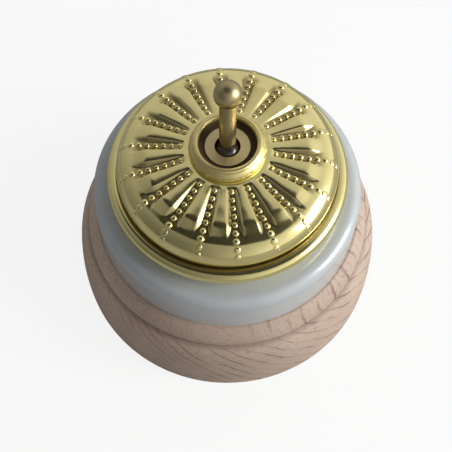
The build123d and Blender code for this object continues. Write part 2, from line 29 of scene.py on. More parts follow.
# Camera: fitted to the outlines of the photograph
CAMERA_ELEVATION = 65.05
CAMERA_DISTANCE = 220.0
CAMERA_TARGET = (-0.33, 0.0, 12.91)
CAMERA_ROLL = 0.18
CAMERA_LENS = 57.84
CAMERA_SENSOR = 36.0
CAMERA_NEAR = 10.0

# Key lamp, in watts
KEY_PLACE = (620.0, -130.0, 340.0)
KEY_TARGET = (0.0, 0.0, 40.0)
KEY_SIZE = 350.0
KEY_POWER = 3.0

# Room: azimuth, elevation, strength and sharpness of its glows, and its least light
ROOM_GLOW = (-20, 0, 1.0, 3.2)
WALL_GLOW = (80, 10, 0.5, 2.0)
ROOM_BASE = 0.12
BACKDROP_GREY = 0.9

# Window: azimuth and elevation, and the cosines between which it brightens
WINDOW_AT = (-12, 20)
WINDOW_EDGE = (0.925, 0.975)
WINDOW_STRENGTH = 1.6

# Dark figure at the camera: an oval overhead, as factors of a direction's parts
FIGURE_ACROSS = 1.8
FIGURE_ALONG = 2.4
FIGURE_FORWARD = 0.022
FIGURE_LEAN = 0.25
FIGURE_EDGE = (0.90, 1.08)
FIGURE_DARK = 0.88

# Floor: its grey in reflections and for the camera, and the glow that the camera sees
FLOOR_HALF = 1500.0
FLOOR_DROP = 0.05
FLOOR_GREY = 0.5
FLOOR_SEEN_GREY = 0.93
FLOOR_GLOW = 1.0
FLOOR_SHARE = 0.86
FLOOR_ROUGH = 0.9

# Wood: radius and height of the valley under the roll, and the reach and strength of the painted shade
# along it
QUIRK_R = 39.8
QUIRK_Z = 22.3
VALLEY_SHADE_REACH = (0.1, 1.3)
VALLEY_SHADE_SHARE = 0.55

# Noises: features per mm, detail, roughness, and stretch along the three axes
TARNISH_NOISE = (0.12, 4.0, 0.6)
SCUFF_NOISE = (0.5, 5.0, 0.65)
WAVE_NOISE = (0.35, 2.0)
MOTTLE_NOISE = (0.3, 3.0)
GLAZE_NOISE = (0.08, 3.0)
PEEL_NOISE = (0.25, 2.0)
TONE_NOISE = (0.06, 3.0)
WAVER_NOISE = (0.09, 2.0)
PATCH_NOISE = (0.11, 3.0)
FLECK_NOISE = (1.0, 4.0, 0.7, (0.8, 0.8, 1.0))
PORE_NOISE = (1.6, 4.0, 0.6, (0.5, 0.5, 1))

# Growth lines: their pitch and waver in degrees round the axis, and their slant in degrees per mm down
GRAIN_PITCH = 9.0
GRAIN_SLANT = 1.1
GRAIN_WAVER = 9.0
GRAIN_CLOSING = 0.0003
GRAIN_TURN = 30.0
GRAIN_OUT = 2.15
GRAIN_DARK = 0.9
LINE_EDGES = (0.72, 0.92)
FINE_EDGES = (0.6, 0.9)
FINES_PER_LINE = 3
FINE_SHARE = 0.3
FLECK_SHARE = 0.42
FLECK_EDGES = (0.52, 0.66)

# Where growth lines show: in patches, more towards the right and front, less on the roll's left
PATCH_EDGES = (0.40, 0.60)
PATCH_LEAST = 0.15
RIGHT_FRONT = (0.7, -0.7)
RIGHT_REACH = (-15.0, 25.0)
RIGHT_LEAST = 0.25
ROLL_REACH = (2.0, 22.0)
ROLL_HIDDEN = 0.75

# Wood colours, with painted light: a pale colour that lifts the wood's shaded left side, and a dark one
# painted as shade along the valley
BEECH = (0.57, 0.44, 0.35)
BEECH_DULL = (0.50, 0.375, 0.295)
BEECH_PAINTED_LIGHT = (0.70, 0.54, 0.43)
BEECH_LINE = (0.20, 0.12, 0.085)
BEECH_FLECK = (0.27, 0.17, 0.12)
BEECH_VALLEY_SHADE = (0.20, 0.125, 0.09)
BEECH_ROUGH = 0.62
TONE_EDGES = (0.3, 0.7)
# Painted light: how far the pale colour reaches along the left side, and its strength there
PAINTED_LIGHT_REACH = (-34.0, -18.0)
PAINTED_LIGHT_SHARE = 0.8
PORE_DEPTH = 0.05

# Glazed porcelain
GLAZE = (0.52, 0.555, 0.565)
GLAZE_DULL = (0.48, 0.515, 0.53)
GLAZE_EDGES = (0.35, 0.65)
BODY_ROUGH = 0.32
GLAZE_COAT = 0.8
GLAZE_ROUGH = 0.08
PEEL_DEPTH = 0.02

# Plain finishes: colour, roughness, metal and coat
CONTACT_BRASS = ((0.72, 0.57, 0.30), 0.35, 1.0)
ZINC_STEEL = ((0.55, 0.55, 0.56), 0.35, 1.0)
DARK_HUB = ((0.035, 0.022, 0.016), 0.12, 0.0, 0.6)
LINER_CARD = ((0.42, 0.36, 0.26), 0.8)
FIBRE = ((0.16, 0.07, 0.04), 0.6)
MOTTLE_EDGES = (0.3, 0.7)
MOTTLE_DARK = 0.88

# Brass: bright and dull colour, roughness, and depth of its waviness
PRESSED_BRASS = ((0.89, 0.785, 0.36), (0.82, 0.71, 0.31), 0.13, 0.012)
SATIN_BRASS = ((0.72, 0.60, 0.32), (0.62, 0.51, 0.27), 0.36, 0.01)
AGED_BRASS = ((0.52, 0.43, 0.23), (0.42, 0.34, 0.18), 0.34, 0.003)
NUT_BRASS = ((0.84, 0.73, 0.34), (0.74, 0.63, 0.29), 0.33, 0.003)
TARNISH_EDGES = (0.42, 0.72)
SCUFF_EDGES = (0.3, 0.75)
ROUGH_SPREAD = (0.85, 1.25)

# Painted shade, dark brown and a little rougher, in the pressing's grooves, on its studs and in the cove
# above the bead
PAINTED_SHADE_DEPTH = 0.5
PAINTED_SHADE_FADE = 1.5
PAINTED_SHADE_SHARE = 0.8
PAINTED_SHADE_ROUGH = 0.08
PAINTED_SHADE_COLOUR = (0.29, 0.22, 0.10)
COVE_LOW = 49.0
COVE_NEAR = 0.1
COVE_PAINTED_SHADE = 1.25
STUD_PAINTED_SHADE = 0.35

# Ring nut: radius and top of its dark recess
RECESS_R = 7.2
RECESS_Z = 60.7
RECESS_EDGE = 0.35
RECESS_FADE = (-0.25, 0.1)
RECESS_ROUGH = 0.4
RECESS_DULLING = -0.7
RECESS_COLOUR = (0.10, 0.06, 0.03)

# Pressed cover: foot, bead, side, shoulder, dome and crown
RIM_Z = 43.0
SHEET = 0.85
SKIRT_H = 2.25
BEAD_R = 2.05
BEAD_OUT = 0.85
SIDE_R = 28.4
SHOULDER_Z = 50.9
SHOULDER_R = 5.5
DOME_LEAN = 6.4
CROWN_R = 11.2
CROWN_STEP = 0.3
COVER_HOLE_R = 5.85
HOLE_LIP = 0.2
HOLE_ROUND_OUT = 0.06
HOLE_ROUND_DOWN = 0.05
INSIDE_ANGLES = (30, 60, 90 - DOME_LEAN)

# Petals of the cover: half their angle, their edges and their crown
PETALS = 18
PETAL_TURN = 5.0
PETAL_SPREAD = 5.4
PETAL_WALL = 0.7
PETAL_EDGE = 0.75
PETAL_FOOT = 0.25
PETAL_CORNER = 0.6
PETAL_CROWN = 0.13
PETAL_CROWN_START = 2.5

# Facets at the petals' ends, and where the relief ends
FACET_START = 20.5
FACET_TILT = 24.0
FACET_SINK = 0.12
FACET_EDGE = 0.3
RELIEF_END = 25.0

# Waviness of the pressing: its depth, its scale, and the stretches over which it starts and ends
PETAL_WOBBLE = 0.035
WOBBLE_SCALE = 0.28
WOBBLE_END = 2
WOBBLE_START = 6

# Studs between the petals
STUDS_PER_ROW = 9
OUTER_STUDS = 2
STUD_PITCH = 2.09
STUD_START = 11.9
STUD_R = 0.85
STUD_RISE = 0.55
OUTER_STUD_RISE = 0.28
STUD_SINK = 0.1
STUD_SWELL = 0.03
STUD_SIZES = (0.95, 1.03)
STUD_SHIFT = 0.05
STUD_POLAR = 100
STUD_SIDES = 16
STUD_RINGS = 6
STUD_SEED = 4

# Worked out from the sizes of the cover
SHOULDER_C = SIDE_R - SHOULDER_R
DOME_EDGE_R = SHOULDER_C + SHOULDER_R * math.sin(math.radians(DOME_LEAN))
DOME_EDGE_Z = SHOULDER_Z + SHOULDER_R * math.cos(math.radians(DOME_LEAN))
DOME_TOP_Z = DOME_EDGE_Z + (DOME_EDGE_R - CROWN_R) * math.tan(math.radians(DOME_LEAN))
CROWN_Z = DOME_TOP_Z + CROWN_STEP
BEAD_Z = RIM_Z + SKIRT_H + BEAD_R
CREASE_ANGLE = 180 - math.degrees(math.acos(BEAD_OUT / BEAD_R))
FACET_FALL = math.tan(math.radians(FACET_TILT))
TOUCH_R = SHOULDER_C + SHOULDER_R * math.sin(math.radians(FACET_TILT))
TOUCH_Z = SHOULDER_Z + SHOULDER_R * math.cos(math.radians(FACET_TILT))
FACET_Z = TOUCH_Z - FACET_SINK / math.cos(math.radians(FACET_TILT)) + (TOUCH_R - FACET_START) * FACET_FALL
PETAL_FALL = (CROWN_Z - FACET_Z) / (FACET_START - CROWN_R)

# Least stretches of a petal's edge, wall and valley in its mesh, and the steps over each stretch
LEAST_EDGE = 0.1
LEAST_WALL = 0.2
LEAST_VALLEY = 0.3
TOP_STEPS = 4
EDGE_STEPS = 6
WALL_STEPS = 2
FOOT_STEPS = 4

# Plain rings past the relief: degrees to the first, and the steps over the shoulder, the side and the bead
SHOULDER_SKIP = 4
SHOULDER_STEPS = 12
SIDE_STEPS = 3
BEAD_STEPS = 20
BEAD_END = -90

# Rows of the relief: from one radius to another in a number of steps, closer where petals start and end
RELIEF_BANDS = (
    (COVER_HOLE_R + 0.25, CROWN_R - 0.5, 5),
    (CROWN_R - 0.4, CROWN_R + 1.1, 14),
    (CROWN_R + 1.5, FACET_START - 0.6, 16),
    (FACET_START - 0.4, FACET_START + 0.6, 9),
    (FACET_START + 0.9, RELIEF_END - 1.7, 6),
    (RELIEF_END - 1.5, RELIEF_END, 14),
)


def new_object(name, verts, faces, smooth_angle=50.0):
    """Mesh object from millimetre points, smooth except at edges sharper than the angle."""
    mesh = bpy.data.meshes.new(name)
    mesh.from_pydata([(x * MM, y * MM, z * MM) for x, y, z in verts], [], faces)
    mesh.update()
    mesh.shade_smooth()
    mesh.set_sharp_from_angle(angle=math.radians(smooth_angle))
    obj = bpy.data.objects.new(name, mesh)
    bpy.context.scene.collection.objects.link(obj)
    return obj


def on_arc(centre, radius, angle):
    """A point of a half-section's arc."""
    a = math.radians(angle)
    return (centre[0] + radius * math.cos(a), centre[1] + radius * math.sin(a))


def steps(low, high, count):
    """count + 1 even steps from low to high."""
    return [low + (high - low) * i / count for i in range(count + 1)]


def soft_min(a, b, reach):
    """The lower of two values, rounded off where they are closer than the reach."""
    mix = max(reach - abs(a - b), 0.0) / reach
    return min(a, b) - mix * mix * reach / 4


def dome_height(r):
    """Height of the sheet between the petals, from the crown to the shoulder's end."""
    if r <= CROWN_R:
        return DOME_TOP_Z
    if r <= DOME_EDGE_R:
        share = (r - CROWN_R) / (DOME_EDGE_R - CROWN_R)
        return DOME_TOP_Z + (DOME_EDGE_Z - DOME_TOP_Z) * share
    return SHOULDER_Z + math.sqrt(max(0.0, SHOULDER_R**2 - (r - SHOULDER_C) ** 2))


def petal_top(x):
    """Height of a petal's top: nearly level, then falling as a facet."""
    level = CROWN_Z - max(0.0, x - CROWN_R) * PETAL_FALL
    return soft_min(level, FACET_Z - (x - FACET_START) * FACET_FALL, FACET_EDGE)


def cover_height(r, angle):
    """Height of the pressing at an angle from a petal's middle."""
    x = r * math.cos(math.radians(angle))
    y = abs(r * math.sin(math.radians(angle)))
    spread = math.radians(PETAL_SPREAD)
    side = y * math.cos(spread) - x * math.sin(spread)
    outside = soft_min(side, r - CROWN_R, PETAL_CORNER)
    swell = PETAL_CROWN * min(1.0, max(0.0, (x - CROWN_R) / PETAL_CROWN_START))
    top = petal_top(x) - swell * min(1.0, y / (x * math.tan(spread))) ** 2
    raised = soft_min(top, top - outside / PETAL_WALL, PETAL_EDGE)
    return -soft_min(-dome_height(r), -raised, PETAL_FOOT)


def sector_angles(r):
    """Angles from a petal's middle over one pitch, closer together at its edges and feet."""
    edge = math.degrees(PETAL_EDGE / r)
    foot = math.degrees(PETAL_FOOT / r)
    depth = max(0.0, petal_top(r) - dome_height(r))
    bottom = PETAL_SPREAD + math.degrees(depth * PETAL_WALL / r)
    half_pitch = 180 / PETALS
    bottom = max(bottom, PETAL_SPREAD + edge + foot + LEAST_WALL)
    bottom = min(bottom, half_pitch - foot - LEAST_VALLEY)
    top_end = min(PETAL_SPREAD + edge, bottom - foot - LEAST_EDGE)
    half = steps(0, PETAL_SPREAD - edge, TOP_STEPS)[:-1]
    half += steps(PETAL_SPREAD - edge, top_end, EDGE_STEPS)
    half += steps(top_end, bottom - foot, WALL_STEPS)[1:]
    half += steps(bottom - foot, bottom + foot, FOOT_STEPS)[1:]
    half.append((bottom + foot + half_pitch) / 2)
    return [-a for a in reversed(half[1:])] + half + [half_pitch]


def relief_height(r, w, offset):
    """Height of the pressing with the slight waviness of pressed sheet."""
    fade = min(1.0, (RELIEF_END - r) / WOBBLE_END, (r - COVER_HOLE_R) / WOBBLE_START)
    place = Vector((r * math.cos(w), r * math.sin(w), 0)) * WOBBLE_SCALE
    wobble = shape_noise.noise(place) * PETAL_WOBBLE * fade
    return cover_height(r, offset) + wobble - PETAL_WOBBLE / 2 * fade


def outer_rings():
    """Radius and height of the plain rings of the cover, from the shoulder down to the rim."""
    start = math.degrees(math.acos((RELIEF_END - SHOULDER_C) / SHOULDER_R)) - SHOULDER_SKIP
    shoulder = (SHOULDER_C, SHOULDER_Z)
    bead = (SIDE_R + BEAD_OUT, BEAD_Z)
    crease_z = on_arc(bead, BEAD_R, CREASE_ANGLE)[1]
    rings = [on_arc(shoulder, SHOULDER_R, a) for a in steps(start, 0, SHOULDER_STEPS)]
    rings += [(SIDE_R, z) for z in steps(SHOULDER_Z, crease_z, SIDE_STEPS)[1:]]
    rings += [on_arc(bead, BEAD_R, a) for a in steps(CREASE_ANGLE, BEAD_END, BEAD_STEPS)[1:]]
    return rings + [(bead[0], RIM_Z)]


def inner_rings():
    """Radius and height of the rings of the cover's inside, from the rim up to the hole."""
    wall_r = SIDE_R - SHEET
    rings = [(wall_r, RIM_Z), (wall_r, SHOULDER_Z)]
    rings += [on_arc((SHOULDER_C, SHOULDER_Z), SHOULDER_R - SHEET, a) for a in INSIDE_ANGLES]
    return rings + [(CROWN_R, DOME_TOP_Z - SHEET), (COVER_HOLE_R, DOME_TOP_Z - SHEET)]


def pressed_cover():
    """The brass cover as one closed skin of rows round the axis, with its studs."""
    pitch = 360 / PETALS
    middles = [PETAL_TURN - 90 + pitch * (i + 0.5) for i in range(PETALS)]
    count = PETALS * len(sector_angles(CROWN_R))
    verts = []
    loops = []

    def add_row(r, height):
        """One closed row of points, its height given by the angle from the nearest petal's middle."""
        loops.append(len(verts))
        offsets = sector_angles(min(max(r, CROWN_R), RELIEF_END))
        for middle in middles:
            for offset in offsets:
                w = math.radians(middle + offset)
                verts.append((r * math.cos(w), r * math.sin(w), height(r, w, offset)))

    def add_ring(r, z):
        """One closed row of points at one height."""
        add_row(r, lambda r, w, offset: z)

    add_ring(COVER_HOLE_R, CROWN_Z - SHEET)
    add_ring(COVER_HOLE_R, CROWN_Z - HOLE_LIP)
    add_ring(COVER_HOLE_R + HOLE_ROUND_OUT, CROWN_Z - HOLE_ROUND_DOWN)
    for low, high, number in RELIEF_BANDS:
        for r in steps(low, high, number):
            add_row(r, relief_height)
    for r, z in outer_rings() + inner_rings():
        add_ring(r, z)
    faces = []
    for low, high in zip(loops, loops[1:] + loops[:1]):
        for j in range(count):
            k = (j + 1) % count
            faces.append((low + j, high + j, high + k, low + k))
    sheet_verts = len(verts)
    add_studs(verts, faces)
    cover = new_object("pressed_cover", verts, faces)
    mark_painted_shade(cover, verts, sheet_verts)
    return cover


def mark_painted_shade(cover, verts, sheet_verts):
    """How deep each point lies in the relief, as an attribute that sets the painted shade there; the cove
    above the bead gets full painted shade, and the points past sheet_verts are studs', which get less.
    """
    painted_shade = cover.data.attributes.new("painted_shade", "FLOAT", "POINT")
    for index, (x, y, z) in enumerate(verts):
        r = math.hypot(x, y)
        in_relief = CROWN_R < r < RELIEF_END and z > SHOULDER_Z
        below = petal_top(r) - z if in_relief else 0.0
        share = min(max(below / PAINTED_SHADE_DEPTH, 0.0), 1.0) * min(1.0, (RELIEF_END - r) / PAINTED_SHADE_FADE)
        # Painted shade: a full dark band in the cove between the shoulder and the bead
        if abs(r - SIDE_R) < COVE_NEAR and COVE_LOW < z < SHOULDER_Z - COVE_NEAR:
            share = COVE_PAINTED_SHADE
        # Studs get only a share of the painted shade
        painted_shade.data[index].value = share if index < sheet_verts else share * STUD_PAINTED_SHADE


def stud_places():
    """Half-section places of a row of studs, with the sheet's lean and the stud's rise at each."""
    lean = math.radians(DOME_LEAN)
    run = (DOME_EDGE_R - STUD_START) / math.cos(lean)
    for i in range(STUDS_PER_ROW):
        past = i * STUD_PITCH - run
        angle = DOME_LEAN + max(0.0, math.degrees(past / SHOULDER_R))
        x, z = on_arc((SHOULDER_C, SHOULDER_Z), SHOULDER_R, 90 - angle)
        x += min(0.0, past) * math.cos(lean)
        rise = STUD_RISE if i < STUDS_PER_ROW - OUTER_STUDS else OUTER_STUD_RISE
        yield x, (dome_height(x) if past < 0 else z), math.radians(angle), rise


def stud_point(place, size, across, polar, w):
    """A point of a stud in the half-section's axes: out from the axis, sideways, up."""
    x, z, lean, rise = place
    u = size * math.sin(polar) * math.cos(w)
    v = size * math.sin(polar) * math.sin(w) + across
    n = rise * math.cos(polar) - STUD_SINK
    return x + u * math.cos(lean) + n * math.sin(lean), v, z - u * math.sin(lean) + n * math.cos(lean)


def add_studs(verts, faces):
    """Round studs, one by one, each slightly its own size as pressed work is."""
    rng = random.Random(STUD_SEED)
    for i in range(PETALS):
        turn = math.radians(PETAL_TURN - 90 + i * 360 / PETALS)
        for number, place in enumerate(stud_places()):
            from_middle = number - STUDS_PER_ROW // 2
            size = STUD_R * rng.uniform(*STUD_SIZES) * (1 + STUD_SWELL * from_middle)
            across = rng.uniform(-STUD_SHIFT, STUD_SHIFT)
            first = len(verts)
            for ring in range(STUD_RINGS + 1):
                polar = math.radians(STUD_POLAR) * ring / STUD_RINGS
                for k in range(STUD_SIDES if ring else 1):
                    out, side, up = stud_point(place, size, across, polar, 2 * math.pi * k / STUD_SIDES)
                    x = out * math.cos(turn) - side * math.sin(turn)
                    y = out * math.sin(turn) + side * math.cos(turn)
                    verts.append((x, y, up))
            add_stud_faces(first, faces)


def add_stud_faces(first, faces):
    """Faces of one stud, whose top point is the first and whose rings follow."""
    for k in range(STUD_SIDES):
        faces.append((first, first + 1 + k, first + 1 + (k + 1) % STUD_SIDES))
    for ring in range(1, STUD_RINGS):
        a = first + 1 + (ring - 1) * STUD_SIDES
        b = a + STUD_SIDES
        for k in range(STUD_SIDES):
            m = (k + 1) % STUD_SIDES
            faces.append((a + k, b + k, b + m, a + m))


def shader(name):
    """A new node material, with its tree and its Principled shader."""
    material = bpy.data.materials.new(name)
    material.use_nodes = True
    tree = material.node_tree
    return material, tree, tree.nodes["Principled BSDF"]


def add(tree, kind, inputs=(), **settings):
    """A node with its settings and socket values; a value may be an output socket to link."""
    node = tree.nodes.new(kind)
    for key, value in settings.items():
        setattr(node, key, value)
    for key, value in dict(inputs).items():
        socket = node.inputs[key]
        if isinstance(value, bpy.types.NodeSocket):
            tree.links.new(value, socket)
        else:
            socket.default_value = value
    return node


def calc(tree, operation, *values):
    """A number worked out from numbers or sockets."""
    return add(tree, "ShaderNodeMath", dict(enumerate(values)), operation=operation).outputs[0]


def product(tree, first, *others):
    """The product of numbers or sockets."""
    for value in others:
        first = calc(tree, "MULTIPLY", first, value)
    return first


def object_point(tree, scale=1.0, stretch=(1, 1, 1)):
    """Object coordinates in millimetres times a scale."""
    place = add(tree, "ShaderNodeTexCoord").outputs["Object"]
    factors = tuple(scale * s / MM for s in stretch)
    return add(tree, "ShaderNodeVectorMath", {0: place, 1: factors}, operation="MULTIPLY").outputs[0]


def point_parts(tree):
    """The three object coordinates in millimetres, and the distance from the axis."""
    parts = add(tree, "ShaderNodeSeparateXYZ", {0: object_point(tree)}).outputs
    squares = calc(tree, "MULTIPLY_ADD", parts["X"], parts["X"], product(tree, parts["Y"], parts["Y"]))
    return parts["X"], parts["Y"], parts["Z"], calc(tree, "SQRT", squares)


def noise(tree, scale=1.0, detail=3.0, rough=0.5, stretch=(1, 1, 1)):
    """Soft noise, its scale in features per millimetre."""
    point = object_point(tree, scale, stretch)
    values = {"Vector": point, "Scale": 1.0, "Detail": detail, "Roughness": rough}
    return add(tree, "ShaderNodeTexNoise", values).outputs["Fac"]


def remap(tree, value, low, high, to_low=0.0, to_high=1.0):
    """A value stretched from one range to another and held within it."""
    inputs = {"Value": value, "From Min": low, "From Max": high, "To Min": to_low, "To Max": to_high}
    return add(tree, "ShaderNodeMapRange", inputs).outputs[0]


def blend_colours(tree, share, first, second):
    """The first colour with a share of the second; each may be a socket."""
    node = add(tree, "ShaderNodeMix", data_type="RGBA")
    for index, value in ((0, share), (6, first), (7, second)):
        if isinstance(value, bpy.types.NodeSocket):
            tree.links.new(value, node.inputs[index])
        elif index:
            node.inputs[index].default_value = (*value, 1.0)
        else:
            node.inputs[index].default_value = value
    return node.outputs[2]


def bump(tree, height, distance):
    """A normal bent by a height of so many millimetres."""
    return add(tree, "ShaderNodeBump", {"Height": height, "Distance": distance * MM}).outputs["Normal"]


def brass(name, colour, dull, roughness, wobble):
    """Brass with a little tarnish and the soft waviness of spun or pressed metal."""
    material, tree, bsdf = shader(name)
    dark_tone = remap(tree, noise(tree, *TARNISH_NOISE), *TARNISH_EDGES)
    tree.links.new(blend_colours(tree, dark_tone, colour, dull), bsdf.inputs["Base Color"])
    bsdf.inputs["Metallic"].default_value = 1.0
    low, high = (roughness * share for share in ROUGH_SPREAD)
    rough = remap(tree, noise(tree, *SCUFF_NOISE), *SCUFF_EDGES, low, high)
    tree.links.new(rough, bsdf.inputs["Roughness"])
    tree.links.new(bump(tree, noise(tree, *WAVE_NOISE), wobble), bsdf.inputs["Normal"])
    return material


def darkened(material, share, dark_tone, share_rough, rougher):
    """The same brass, blended with a dark colour and made rougher by shares in sockets: painted shade on
    the cover, and the dark brown of the nut's recess.
    """
    tree = material.node_tree
    bsdf = tree.nodes["Principled BSDF"]
    colour = bsdf.inputs["Base Color"].links[0].from_socket
    rough = bsdf.inputs["Roughness"].links[0].from_socket
    tree.links.new(blend_colours(tree, share, colour, dark_tone), bsdf.inputs["Base Color"])
    tree.links.new(calc(tree, "MULTIPLY_ADD", share_rough, rougher, rough), bsdf.inputs["Roughness"])
    return bsdf


def pressed_brass():
    """Polished brass with painted shade, dark brown and rougher, down in the grooves of the pressing and
    in the cove above the bead.
    """
    material = brass("pressed_brass", *PRESSED_BRASS)
    tree = material.node_tree
    depth = add(tree, "ShaderNodeAttribute", attribute_name="painted_shade").outputs["Fac"]
    share = calc(tree, "MULTIPLY", depth, PAINTED_SHADE_SHARE)
    darkened(material, share, PAINTED_SHADE_COLOUR, depth, PAINTED_SHADE_ROUGH)
    return material


def nut_brass():
    """Brass that is made dark brown, rougher and less metallic in the nut's recess."""
    material = brass("nut_brass", *NUT_BRASS)
    tree = material.node_tree
    height, radius = point_parts(tree)[2:]
    inner = remap(tree, radius, RECESS_R, RECESS_R + RECESS_EDGE, 1.0, 0.0)
    low = remap(tree, height, RECESS_Z + RECESS_FADE[0], RECESS_Z + RECESS_FADE[1], 1.0, 0.0)
    dark = calc(tree, "MULTIPLY", inner, low)
    bsdf = darkened(material, dark, RECESS_COLOUR, dark, RECESS_ROUGH)
    tree.links.new(calc(tree, "MULTIPLY_ADD", dark, RECESS_DULLING, 1.0), bsdf.inputs["Metallic"])
    return material


def plain(name, colour, roughness, metallic=0.0, coat=0.0):
    """A plain finish with a faint mottle."""
    material, tree, bsdf = shader(name)
    mottle = remap(tree, noise(tree, *MOTTLE_NOISE), *MOTTLE_EDGES)
    darker = tuple(c * MOTTLE_DARK for c in colour)
    tree.links.new(blend_colours(tree, mottle, colour, darker), bsdf.inputs["Base Color"])
    bsdf.inputs["Metallic"].default_value = metallic
    bsdf.inputs["Roughness"].default_value = roughness
    bsdf.inputs["Coat Weight"].default_value = coat
    return material


def porcelain():
    """Cool white body under a clear glaze with a faint orange peel."""
    material, tree, bsdf = shader("glazed_porcelain")
    mottle = remap(tree, noise(tree, *GLAZE_NOISE), *GLAZE_EDGES)
    tree.links.new(blend_colours(tree, mottle, GLAZE, GLAZE_DULL), bsdf.inputs["Base Color"])
    bsdf.inputs["Roughness"].default_value = BODY_ROUGH
    bsdf.inputs["Coat Weight"].default_value = GLAZE_COAT
    bsdf.inputs["Coat Roughness"].default_value = GLAZE_ROUGH
    tree.links.new(bump(tree, noise(tree, *PEEL_NOISE), PEEL_DEPTH), bsdf.inputs["Normal"])
    return material


def growth(tree, x, y, z, radius):
    """Degrees across the growth lines, which run up the roll and slant down the side."""
    around = calc(tree, "DEGREES", calc(tree, "ARCTAN2", y, x))
    drop = calc(tree, "MAXIMUM", calc(tree, "SUBTRACT", QUIRK_Z, z), 0.0)
    below = calc(tree, "GREATER_THAN", drop, 0.0)
    past = calc(tree, "MAXIMUM", calc(tree, "SUBTRACT", radius, QUIRK_R), 0.0)
    down = calc(tree, "MULTIPLY_ADD", product(tree, past, below), GRAIN_OUT, drop)
    slant = calc(tree, "MULTIPLY_ADD", down, -GRAIN_SLANT, around)
    left = calc(tree, "MINIMUM", calc(tree, "ADD", slant, GRAIN_TURN), 0.0)
    closer = product(tree, left, left, -GRAIN_CLOSING * GRAIN_PITCH)
    even = calc(tree, "ADD", slant, closer)
    return calc(tree, "MULTIPLY_ADD", noise(tree, *WAVER_NOISE), GRAIN_WAVER, even)


def ruled(tree, value, pitch, edges):
    """Lines at a pitch: each darkens between two shares of it and clears at its end."""
    saw = calc(tree, "FRACT", calc(tree, "DIVIDE", value, pitch))
    return product(tree, remap(tree, saw, *edges), remap(tree, saw, edges[1], 1.0, 1.0, 0.0))


def line_strength(tree, x, y, z):
    """Where the growth lines show: in patches, mostly at the right, and less on the roll's left."""
    patchy = remap(tree, noise(tree, *PATCH_NOISE), *PATCH_EDGES, PATCH_LEAST, 1.0)
    side = calc(tree, "MULTIPLY_ADD", x, RIGHT_FRONT[0], calc(tree, "MULTIPLY", y, RIGHT_FRONT[1]))
    marked = remap(tree, side, *RIGHT_REACH, RIGHT_LEAST, 1.0)
    on_roll = calc(tree, "GREATER_THAN", z, QUIRK_Z)
    hidden = product(tree, on_roll, remap(tree, x, *ROLL_REACH, ROLL_HIDDEN, 0.0))
    return product(tree, marked, calc(tree, "SUBTRACT", 1.0, hidden), patchy, GRAIN_DARK)


def beech():
    """Pale turned wood with thin growth lines and fine flecks, painted lighter on its shaded left side and
    painted with shade along the valley.
    """
    material, tree, bsdf = shader("turned_beech")
    x, y, z, radius = point_parts(tree)
    grain = growth(tree, x, y, z, radius)
    line = ruled(tree, grain, GRAIN_PITCH, LINE_EDGES)
    fine = ruled(tree, grain, GRAIN_PITCH / FINES_PER_LINE, FINE_EDGES)
    lines = product(tree, calc(tree, "MULTIPLY_ADD", fine, FINE_SHARE, line), line_strength(tree, x, y, z))
    tone = remap(tree, noise(tree, *TONE_NOISE), *TONE_EDGES)
    colour = blend_colours(tree, tone, BEECH, BEECH_DULL)
    # Painted light: the left side made paler where the wood is in shade
    colour = blend_colours(tree, remap(tree, x, *PAINTED_LIGHT_REACH, PAINTED_LIGHT_SHARE, 0.0), colour, BEECH_PAINTED_LIGHT)
    colour = blend_colours(tree, lines, colour, BEECH_LINE)
    fleck = remap(tree, noise(tree, *FLECK_NOISE), *FLECK_EDGES)
    colour = blend_colours(tree, calc(tree, "MULTIPLY", fleck, FLECK_SHARE), colour, BEECH_FLECK)
    # Painted shade: a dark band along the valley under the roll
    gap = calc(tree, "ABSOLUTE", calc(tree, "SUBTRACT", z, QUIRK_Z))
    valley_shade = remap(tree, gap, *VALLEY_SHADE_REACH, VALLEY_SHADE_SHARE, 0.0)
    colour = blend_colours(tree, valley_shade, colour, BEECH_VALLEY_SHADE)
    tree.links.new(colour, bsdf.inputs["Base Color"])
    bsdf.inputs["Roughness"].default_value = BEECH_ROUGH
    tree.links.new(bump(tree, noise(tree, *PORE_NOISE), PORE_DEPTH), bsdf.inputs["Normal"])
    return material


def add_key_lamp():
    """A soft square lamp at the right."""
    lamp = bpy.data.lights.new("key", "AREA")
    lamp.shape = "RECTANGLE"
    lamp.size = KEY_SIZE * MM
    lamp.size_y = KEY_SIZE * MM
    lamp.energy = KEY_POWER
    obj = bpy.data.objects.new("key", lamp)
    bpy.context.scene.collection.objects.link(obj)
    place = Vector(KEY_PLACE) * MM
    obj.location = place
    obj.rotation_euler = (Vector(KEY_TARGET) * MM - place).to_track_quat("-Z", "Y").to_euler()


def towards(tree, direction, azimuth, elevation):
    """Cosine of the angle between the direction and one given in degrees."""
    a = math.radians(azimuth)
    e = math.radians(elevation)
    aim = (math.cos(a) * math.cos(e), math.sin(a) * math.cos(e), math.sin(e))
    node = add(tree, "ShaderNodeVectorMath", {0: direction, 1: aim}, operation="DOT_PRODUCT")
    return node.outputs["Value"]


def glow(tree, direction, azimuth, elevation, strength, sharpness):
    """A wide soft glow round a direction."""
    half = calc(tree, "MULTIPLY_ADD", towards(tree, direction, azimuth, elevation), 0.5, 0.5)
    return calc(tree, "MULTIPLY", calc(tree, "POWER", half, sharpness), strength)


def figure_shade(tree, direction):
    """Share of the light that the dark figure overhead holds back."""
    parts = add(tree, "ShaderNodeSeparateXYZ", {0: direction}).outputs
    across = calc(tree, "MULTIPLY", parts["X"], FIGURE_ACROSS)
    leaning = calc(tree, "MULTIPLY_ADD", parts["X"], FIGURE_LEAN, parts["Y"])
    along = calc(tree, "MULTIPLY", calc(tree, "ADD", leaning, FIGURE_FORWARD), FIGURE_ALONG)
    squares = calc(tree, "MULTIPLY_ADD", across, across, product(tree, along, along))
    reach = calc(tree, "SQRT", squares)
    overhead = calc(tree, "GREATER_THAN", parts["Z"], 0.0)
    return product(tree, remap(tree, reach, *FIGURE_EDGE, FIGURE_DARK, 0.0), overhead)


